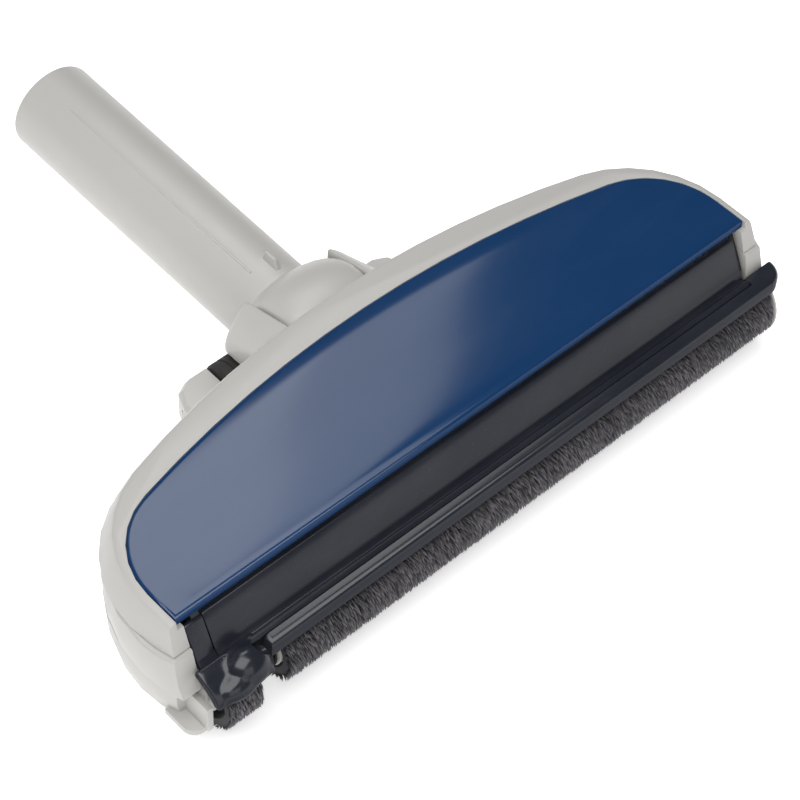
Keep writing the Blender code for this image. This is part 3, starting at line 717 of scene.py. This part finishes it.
@dataclass
class TopPlate:
    """Glossy plate with a rolled edge and a low crown."""

    shop: Workshop
    half_width: float = 132.0
    rear: float = 58.0
    arc: float = 430.0
    blend: float = 32.0
    low: float = 56.2
    high: float = 59.2
    rolls: tuple[Point2, ...] = ((0.25, 0.30), (0.4, 0.15), (0.9, 0.08))
    crown: tuple[Point2, ...] = ((0.93, 0.35), (0.85, 0.25), (0.75, 0.18), (0.5, 0.08))

    def build(self) -> None:
        """Extrude the outline, then inset and lift its top step by step."""
        points = bowed_outline(self.half_width, self.rear, self.arc, self.blend)
        item = Bench.plate("top_plate_gloss", points, self.low, self.high, Lie.Z,
                           self.shop.datum)
        Bench.choose(item, lambda face: face.normal.z > 0.9)
        for inset, lift in self.rolls:
            with Bench.editing(item, False):
                bpy.ops.mesh.inset(thickness=inset * MM, depth=0.0)
                bpy.ops.transform.translate(value=(0.0, 0.0, lift * MM))
        middle = self.shop.at(0.0, self.rear * 0.45, self.high)
        for share, lift in self.crown:
            with Bench.editing(item, False):
                bpy.ops.mesh.extrude_region_move(
                    TRANSFORM_OT_translate={"value": (0.0, 0.0, lift * MM)})
                bpy.ops.transform.resize(value=(share, share, 1.0), center_override=middle)
        self.shop.finish(item, Slot.BLUE, "head", "top_plate", smooth=50.0)


@dataclass
class Window:
    """Raked smoke window with a groove and a ridge along its foot, and the wing at its left."""

    shop: Workshop
    left: float = -121.5
    right: float = 127.5
    rake: tuple[Point2, ...] = ((-0.4, 53.1), (-2.2, 49.8), (-4.1, 45.8), (-6.0, 41.6),
                                (-7.3, 38.9))
    foot: tuple[Point2, ...] = ((-7.9, 38.2), (-8.6, 37.6), (-9.2, 37.7), (-9.5, 38.5),
                                (-10.2, 39.1), (-11.1, 38.9), (-11.9, 38.2), (-12.0, 37.2))
    back: tuple[Point2, ...] = ((-10.6, 36.6), (-8.4, 36.4), (-6.4, 37.0), (-4.8, 39.2),
                                (1.8, 53.1))
    edge: float = 0.35
    crease: float = 20.0
    wing_left: float = -129.3
    wing_right: float = -121.9
    wing_edge: float = 0.5
    wing_section: tuple[Point2, ...] = ((-1.2, 53.4), (-7.1, 40.0), (-12.6, 36.4), (-11.4, 35.2),
                                        (-5.6, 38.8), (0.4, 53.4))

    def build(self) -> None:
        """Extrude the window's section, then the wing's, a little set back."""
        item = Bench.plate("window_moulding", self.rake + self.foot + self.back, self.left,
                           self.right, Lie.X, self.shop.datum)
        Bench.bevel(item, self.edge, angle=self.crease)
        self.shop.finish(item, Slot.SMOKE, "head", "front_window", smooth=24.0)
        wing = Bench.plate("window_wing", self.wing_section, self.wing_left, self.wing_right,
                           Lie.X, self.shop.datum)
        Bench.bevel(wing, self.wing_edge)
        self.shop.finish(wing, Slot.SMOKE, "head")


@dataclass
class Hood:
    """Hollow hood over the roller, rounded along its front and round its right end."""

    shop: Workshop
    left: float = -105.8
    right: float = 143.0
    front: float = -16.5
    rear: float = -12.2
    low: float = 31.4
    high: float = 37.9
    turn: float = 8.0
    pillar: Point2 = (128.3, -8.5)
    rounding: float = 2.4
    rounded_from: Point3 = (136.0, -12.6, 37.8)
    wall: float = 1.3
    hollow: float = 4.6

    def build(self) -> None:
        """Extrude the plan, round its outer top edge and hollow it from below."""
        centre = (self.right - self.turn, self.front + self.turn)
        corner = arc_points(centre, self.turn, -90.0, 0.0, 10)
        plan = [(self.left, self.rear), (self.left, self.front), *corner, self.pillar,
                (self.pillar[0], self.rear)]
        item = Bench.plate("roller_hood", plan, self.low, self.high, Lie.Z, self.shop.datum)
        with Bench.editing(item):
            bpy.ops.mesh.dissolve_limited(angle_limit=0.01)
        limit = self.shop.at(*self.rounded_from)
        Bench.soften(item, self.rounding, lambda spot, along: spot.z > limit.z and (
            spot.y < limit.y or spot.x > limit.x))
        Bench.choose(item, lambda face: face.normal.z < -0.9)
        with Bench.editing(item, False):
            bpy.ops.mesh.inset(thickness=self.wall * MM, depth=0.0)
            bpy.ops.mesh.extrude_region_move(
                TRANSFORM_OT_translate={"value": (0.0, 0.0, self.hollow * MM)})
        Bench.outward(item)
        self.shop.finish(item, Slot.SMOKE, "head", "front_lip", smooth=50.0)


@dataclass
class BeltGuard:
    """Guard over the end disc, swelling into the hollow bulb that houses the belt's turn."""

    shop: Workshop
    left: float = -131.9
    right: float = -107.6
    axis: Point2 = (-2.5, 17.8)
    outer: float = 22.6
    inner: float = 19.0
    first: float = 106.0
    last: float = 147.0
    bulb: Point3 = (8.9, 7.6, 7.8)
    bulb_x: float = -115.2
    bulb_angle: float = 128.0
    bulb_reach: float = 19.6
    foot: Point3 = (9.0, 5.2, 5.2)
    foot_shift: Point3 = (-6.0, -3.0, -1.6)
    foot_lap: float = 0.4
    mouth: Point3 = (5.2, 4.0, 3.6)
    mouth_shift: Point3 = (7.6, 0.2, 4.8)

    def build(self) -> None:
        """Join the curved plate, the bulb and its foot, melt them together and cut the mouth."""
        y, z = self.axis
        section = arc_points((y, z), self.outer, self.first, self.last, 14)
        section += arc_points((y, z), self.inner, self.last, self.first, 14)
        item = Bench.plate("belt_guard_moulding", section, self.left, self.right, Lie.X,
                           self.shop.datum)
        lean = math.radians(self.bulb_angle)
        outwards = Vector((0.0, math.cos(lean), math.sin(lean)))
        centre = self.shop.at(self.bulb_x, y, z) + outwards * (self.bulb_reach * MM)
        self.half_egg(item, "bulb", centre, self.bulb, centre, outwards)
        self.half_egg(item, "foot", centre + Vector(self.foot_shift) * MM, self.foot,
                      centre - outwards * (self.foot_lap * MM), outwards)
        Bench.melt(item, 0.5, 34)
        mouth = Bench.egg("mouth", centre + Vector(self.mouth_shift) * MM, self.mouth)
        Bench.combine(item, mouth, "DIFFERENCE")
        self.shop.finish(item, Slot.SMOKE, "head", "belt_guard", smooth=40.0)

    def half_egg(self, item: bpy.types.Object, name: str, centre: Vector, radii: Point3,
                 cut_at: Vector, outwards: Vector) -> None:
        """Join the outer part of an ellipsoid to a mesh.

        Args:
            item: The mesh that it is joined to.
            name: The ellipsoid's name.
            centre: Its centre, in metres.
            radii: Its radii in millimetres.
            cut_at: A point on the plane that it is cut along.
            outwards: The way the part that stays lies from the plane.
        """
        piece = Bench.egg(name, centre, radii)
        with Bench.editing(piece):
            bpy.ops.mesh.bisect(plane_co=cut_at, plane_no=outwards, clear_inner=True,
                                use_fill=True)
        Bench.combine(item, piece, "UNION")


@dataclass
class Neck:
    """Ball between the cheeks, and the tube that turns in it."""

    shop: Workshop
    pivot: Point3 = (0.0, 79.0, 27.0)
    tube_height: float = 18.8
    tilt: float = math.radians(1.3)
    barrel_profile: tuple[Point2, ...] = ((20.0, 18.3), (21.4, 17.6), (22.9, 15.0), (24.1, 11.5),
                                          (25.1, 6.0), (25.5, 0.0))
    pin_bore: Point2 = (3.4, 18.3)
    air_bore: float = 10.8
    tube_bores: tuple[tuple[str, float, float, float], ...] = (("rear_bore", 16.0, 14.7, 44.0),
                                                               ("tube_seat", 31.7, 18.2, 40.0))
    cheek_radius: float = 31.0
    cheek_slope: float = 0.229
    cheek_front: float = 46.0
    cheek_rear: float = 99.0
    cheek_cuts: tuple[tuple[str, Point3, Point3], ...] = (
        ("low", (-60.0, 30.0, -40.0), (60.0, 120.0, 22.2)),
        ("high", (-60.0, 30.0, 53.0), (60.0, 120.0, 90.0)),
        ("slot", (-18.7, 58.0, 0.0), (18.7, 120.0, 90.0)),
        ("left", (-60.0, 30.0, 0.0), (-30.2, 120.0, 90.0)),
        ("right", (30.2, 30.0, 0.0), (60.0, 120.0, 90.0)))
    tube_start: float = 12.0
    tube_end: float = 159.0
    spigot_end: float = -4.0
    line: tuple[Point3, Point3] = ((-0.5, 33.0, 16.8), (0.5, 139.0, 18.35))
    line_angle: float = -19.0
    hook: tuple[Point3, Point3] = ((-1.6, 24.4, 14.0), (1.6, 36.0, 21.4))
    hook_top: Point3 = (0.0, 33.5, 21.4)
    hook_taper: float = 0.45
    hook_angle: float = 8.0

    def barrel(self, name: str, grow: float = 0.0) -> bpy.types.Object:
        """Barrel-shaped ball, turned about the pins."""
        half = [(radius + grow, along + grow) for radius, along in self.barrel_profile]
        whole = half + [(radius, -along) for radius, along in reversed(half[:-1])]
        radius, end = self.pin_bore
        hollow = [(radius, -end - grow), (radius, end + grow)]
        return Bench.turned(name, whole + hollow, Lie.X, self.shop.at(*self.pivot), 96)

    def ball(self) -> None:
        """Bore the barrel for the air way and for the tube's seat."""
        item = self.barrel("neck_ball_shell")
        axis_at = self.shop.at(0.0, self.pivot[1], self.tube_height)
        tools = [Bench.round_bar("front_bore", self.shop.at(0.0, 60.0, self.pivot[2]), Lie.Y,
                                 (self.air_bore, self.air_bore), 40.0)]
        for name, along, radius, depth in self.tube_bores:
            tools.append(Bench.round_bar(name, axis_at + Vector((0.0, along * MM, 0.0)), Lie.Y,
                                         (radius, radius), depth, self.tilt))
        for tool in tools:
            Bench.combine(item, tool, "DIFFERENCE")
        Bench.bevel(item, 0.7, 3, 34.0)
        self.shop.finish(item, Slot.GREY, "neck", "neck_ball", smooth=38.0)

    def cheeks(self) -> None:
        """Cone cut into two rounded cheeks that hold the ball."""
        front = self.cheek_radius + self.cheek_slope * (self.cheek_rear - self.cheek_front)
        middle = (self.cheek_front + self.cheek_rear) / 2
        item = Bench.round_bar("yoke_shell", self.shop.at(0.0, middle, self.tube_height), Lie.Y,
                               (front, self.cheek_radius), self.cheek_rear - self.cheek_front)
        at = self.shop.at
        tools = [Bench.block(name, at(*low), at(*high)) for name, low, high in self.cheek_cuts]
        tools.append(Bench.round_bar("duct", at(0.0, 50.0, self.pivot[2]), Lie.Y, (12.5, 12.5), 30.0))
        tools.append(self.barrel("room", 0.5))
        for tool in tools:
            Bench.combine(item, tool, "DIFFERENCE")
        Bench.melt(item, 0.7, 46)
        self.shop.finish(item, Slot.GREY, "head", "neck_yoke", smooth=60.0)

    def tube(self) -> None:
        """Turn the tube, and add the raised line and the rounded hook along it."""
        start, end, inner_end = self.tube_start, self.tube_end, self.spigot_end
        profile = [(16.3, end), (17.6, end), (18.05, end - 0.2), (18.2, end - 0.7),
                   (17.9, start + 14), (17.9, start + 0.6), (17.5, start + 0.1), (14.4, start),
                   (14.4, inner_end), (12.6, inner_end), (12.6, start + 4), (15.6, start + 12)]
        axis_at = self.shop.at(0.0, self.pivot[1], self.tube_height)
        item = Bench.turned("neck_tube_shell", profile, Lie.Y, axis_at, 128, self.tilt)
        line = Bench.block("line", *(Vector(corner) * MM for corner in self.line))
        Bench.soften(line, 0.4, lambda spot, along: spot.z > 18.0 * MM, 3)
        hook = Bench.block("hook", *(Vector(corner) * MM for corner in self.hook))
        Bench.choose(hook, lambda face: face.normal.z > 0.9)
        with Bench.editing(hook, False):
            bpy.ops.transform.resize(value=(self.hook_taper, self.hook_taper, 1.0),
                                     center_override=Vector(self.hook_top) * MM)
        Bench.melt(hook, 0.35, 10)
        for piece, angle in ((line, self.line_angle), (hook, self.hook_angle)):
            Bench.place(piece, Matrix.Translation(axis_at) @ Matrix.Rotation(self.tilt, 4, "X")
                        @ Matrix.Rotation(math.radians(angle), 4, "Y"))
        Bench.hold(item, line, hook)
        bpy.ops.object.join()
        self.shop.finish(item, Slot.GREY, "tube", "neck_tube", smooth=38.0)

    def build(self) -> None:
        """Build ball, cheeks and tube."""
        self.ball()
        self.cheeks()
        self.tube()


@dataclass
class PlushRoller:
    """Pile sleeves of the roller and of its short end disc, built from combed tufts."""

    shop: Workshop
    spacing: float = 1.05
    seed: int = 11
    nodes: tuple[tuple[str, str, float], ...] = (("roller_pile", "roller_plush", 2.6),
                                                 ("end_disc_pile", "end_disc_plush", 1.5))
    backing: float = 3.0
    margin: float = 0.6
    heights: Point2 = (0.78, 1.0)
    sway: float = 0.25
    widths: Point2 = (1.6, 2.6)
    combing: float = 2.5

    def tuft(self) -> tuple[np.ndarray, np.ndarray]:
        """One tuft: a tapered, bent three-sided tongue of unit length, and its faces."""
        rows = ((0.0, 0.20, 0.0), (0.45, 0.17, 0.10), (0.8, 0.10, 0.28), (1.0, 0.02, 0.46))
        points = []
        for along, wide, lean in rows:
            points += [(-wide, lean, along), (wide, lean, along), (0.0, lean + wide, along)]
        faces = []
        for row in range(len(rows) - 1):
            base = row * 3
            for side in range(3):
                after = (side + 1) % 3
                faces.append((base + side, base + after, base + 3 + after, base + 3 + side))
        return np.array(points), np.array(faces)

    def sleeve(self, name: str, node: str, pile: float) -> None:
        """Cover one sleeve with tufts.

        Args:
            name: The piece's name.
            node: The pile node it stands for.
            pile: Length of the tufts in millimetres.
        """
        low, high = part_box(node)
        middle = (Vector(low) + Vector(high)) / 2
        radius = (high[2] - low[2]) / 2
        root = radius - pile * MM
        rim, left, right = root / MM, low[0] / MM + self.margin, high[0] / MM - self.margin
        profile = [(rim, left), (rim, right), (rim - self.backing, right), (rim - self.backing, left)]
        base = Bench.turned(name, profile, Lie.X, Vector((0.0, middle.y, middle.z)), 72)
        dice = np.random.default_rng(self.seed)
        length = high[0] - low[0]
        rings = int(length / (self.spacing * MM))
        around = int(FULL_TURN * radius / (self.spacing * MM))
        along, turn = np.meshgrid(np.arange(rings), np.arange(around))
        jitter = dice.uniform(-0.45, 0.45, rings * around)
        x = low[0] + (along.ravel() + 0.5 + jitter) / rings * length
        angle = (turn.ravel() + dice.uniform(-0.5, 0.5, rings * around)) / around * FULL_TURN
        tall = (radius - root) * dice.uniform(*self.heights, x.size)
        shape, quads = self.tuft()
        sway = dice.uniform(-self.sway, self.sway, x.size)
        size = dice.uniform(*self.widths, x.size) * MM
        out = np.stack([np.zeros_like(x), np.cos(angle), np.sin(angle)], 1)
        round_way = np.stack([np.zeros_like(x), -np.sin(angle), np.cos(angle)], 1)
        side = np.zeros_like(out)
        side[:, 0] = 1.0
        centre = np.stack([x, np.full_like(x, middle.y), np.full_like(x, middle.z)], 1)
        local = shape[None, :, :]
        across = (local[..., 0] + sway[:, None] * local[..., 2] ** 2) * size[:, None]
        lean = local[..., 1] * size[:, None] * self.combing
        up = root + local[..., 2] * tall[:, None]
        points = (centre[:, None, :] + across[..., None] * side[:, None, :]
                  + lean[..., None] * round_way[:, None, :] + up[..., None] * out[:, None, :])
        start = np.arange(x.size)[:, None, None] * shape.shape[0]
        faces = (quads[None] + start).reshape(-1, 4)
        mesh = bpy.data.meshes.new(name + "_tufts")
        mesh.from_pydata(points.reshape(-1, 3).tolist(), [], faces.tolist())
        # along runs from root to tip of each tuft and drives the pile material's painted shade
        self.write(mesh, "along", np.tile(shape[:, 2], x.size))
        self.write(mesh, "tone", np.repeat(dice.uniform(0.0, 1.0, x.size), shape.shape[0]))
        tufts = bpy.data.objects.new(name + "_tufts", mesh)
        bpy.context.scene.collection.objects.link(tufts)
        for key in ("along", "tone"):
            self.write(base.data, key, np.zeros(len(base.data.vertices)))
        Bench.hold(base, tufts)
        bpy.ops.object.join()
        self.shop.finish(base, Slot.PLUSH, "roller", node, smooth=60.0)

    def write(self, mesh: bpy.types.Mesh, key: str, values: np.ndarray) -> None:
        """Store one number for each point of a mesh."""
        mesh.attributes.new(key, "FLOAT", "POINT").data.foreach_set("value", values)

    def build(self) -> None:
        """Cover both sleeves."""
        for name, node, pile in self.nodes:
            self.sleeve(name, node, pile)


@dataclass
class Wheels:
    """Rear tyres with rounded shoulders and grooves, and rounded sole wheels."""

    shop: Workshop
    shoulder: float = 1.3
    groove: float = 0.45
    groove_depth: float = 0.5
    groove_spread: float = 0.42
    bore: float = 2.35
    sole_edge: float = 0.5

    def tyre(self, side: str) -> None:
        """Turn one tyre inside its node's box."""
        node = "rear_wheel_" + side
        low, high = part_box(node)
        middle = (Vector(low) + Vector(high)) / 2
        radius = (high[2] - low[2]) / 2 / MM
        half = (high[0] - low[0]) / 2 / MM
        centre = (-half + self.shoulder, radius - self.shoulder)
        turn = arc_points(centre, self.shoulder, 180.0, 90.0, 6)
        profile = [(across, along) for along, across in turn]
        floor = radius - self.groove_depth
        for place in (-half * self.groove_spread, 0.0, half * self.groove_spread):
            profile += [(radius, place - self.groove), (floor, place - self.groove * 0.6),
                        (floor, place + self.groove * 0.6), (radius, place + self.groove)]
        profile += [(across, -along) for along, across in reversed(turn)]
        profile += [(self.bore, half), (self.bore, -half)]
        item = Bench.turned("rear_tyre_" + side, profile, Lie.X, middle, 72)
        self.shop.finish(item, Slot.RUBBER, node, node, smooth=30.0)

    def build(self) -> None:
        """Build the four wheels."""
        for side in ("left", "right"):
            self.tyre(side)
            node = "sole_wheel_" + side
            self.shop.refine("sole_roller_" + side, node, Slot.WHITE, node, self.sole_edge)


@dataclass
class Carried:
    """Nodes whose solids are right as they are and only need their finish."""

    shop: Workshop

    def build(self) -> None:
        """Give each node the finish of its slot."""
        slots = {part["node"]: Slot(part["material_slot"]) for part in frame["record"]["subparts"]}
        for name, node in frame["nodes"].items():
            if node.hide_render:
                continue
            node.data.materials.clear()
            node.data.materials.append(MATERIALS[slots[name]])
            LOG.info("%s keeps its solid, finished as %s", name, slots[name].value)


@dataclass
class Studio:
    """Pale floor, soft lights and the camera."""

    shop: Workshop
    camera_at: Point3 = (-410.0, -370.2, 744.0)
    heading: float = -45.18
    height: float = 51.08
    roll: float = 3.51
    lens: float = 117.0
    floor_size: float = 24.0
    floor_drop: float = 0.0002
    floor_glow: float = 0.55
    sky: float = 0.05
    lamps: tuple[tuple[str, Point3, float, float], ...] = (
        ("key", (0.55, 1.0, 1.85), 1.0, 7.0), ("key edge", (0.35, 1.0, 1.80), 0.9, 3.0),
        ("overhead", (-0.8, -0.3, 2.2), 2.2, 52.0), ("front fill", (-0.6, -2.0, 0.9), 1.4, 7.0))

    def softbox(self, name: str, place: Point3, size: float, power: float) -> None:
        """Add a square area light that faces the origin."""
        lamp = bpy.data.lights.new(name, "AREA")
        lamp.size = size
        lamp.energy = power
        item = bpy.data.objects.new(name, lamp)
        bpy.context.scene.collection.objects.link(item)
        item.location = place
        item.rotation_euler = (-Vector(place)).to_track_quat("-Z", "Y").to_euler()

    def floor(self) -> None:
        """Add the floor that the head stands on."""
        bpy.ops.object.select_all(action="DESELECT")
        bpy.ops.mesh.primitive_plane_add(size=self.floor_size, location=(0.0, 0.0, -self.floor_drop))
        item = bpy.context.view_layer.objects.active
        item.name = "studio_floor"
        recipe = Recipe("pale floor")
        item.data.materials.append(recipe.feed(
            Base_Color=(0.93, 0.93, 0.93), Roughness=0.7, Specular_IOR_Level=0.2,
            Emission_Strength=self.floor_glow, Emission_Color=(1.0, 1.0, 1.0)))

    def camera(self) -> None:
        """Add the camera from its heading, height and roll."""
        turn, rise, lean = (math.radians(value) for value in (self.heading, self.height, self.roll))
        level = Vector((math.cos(turn), math.sin(turn), 0.0))
        back = Vector((math.sin(turn) * math.cos(rise), -math.cos(turn) * math.cos(rise),
                       math.sin(rise)))
        upright = level.cross(-back)
        right = math.cos(lean) * level + math.sin(lean) * upright
        upward = math.cos(lean) * upright - math.sin(lean) * level
        lens = bpy.data.cameras.new("camera")
        lens.lens = self.lens
        lens.sensor_width = 36.0
        lens.clip_start = 0.05
        item = bpy.data.objects.new("camera", lens)
        bpy.context.scene.collection.objects.link(item)
        place = self.shop.at(*self.camera_at)
        turned = Matrix((right, upward, back)).transposed().to_4x4()
        item.matrix_world = Matrix.Translation(place) @ turned
        bpy.context.scene.camera = item

    def build(self) -> None:
        """Set up the whole studio."""
        self.floor()
        self.camera()
        world = bpy.data.worlds.new("studio")
        bpy.context.scene.world = world
        world.use_nodes = True
        background = world.node_tree.nodes["Background"]
        background.inputs["Color"].default_value = (1.0, 1.0, 1.0, 1.0)
        background.inputs["Strength"].default_value = self.sky
        bpy.context.scene.view_settings.view_transform = "Standard"
        for name, place, size, power in self.lamps:
            self.softbox(name, place, size, power)


def main() -> None:
    """Build every sub-assembly in order."""
    logging.basicConfig(level=logging.INFO, format="%(name)s: %(message)s")
    for slot, finish in FINISHES.items():
        MATERIALS[slot] = finish.make()
    shop = Workshop()
    for kind in (Shells, TopPlate, Window, Hood, BeltGuard, Neck, PlushRoller, Wheels, Carried, Studio):
        kind(shop).build()
    LOG.info("%d pieces made", shop.made)


if __name__ == "__main__":
    main()
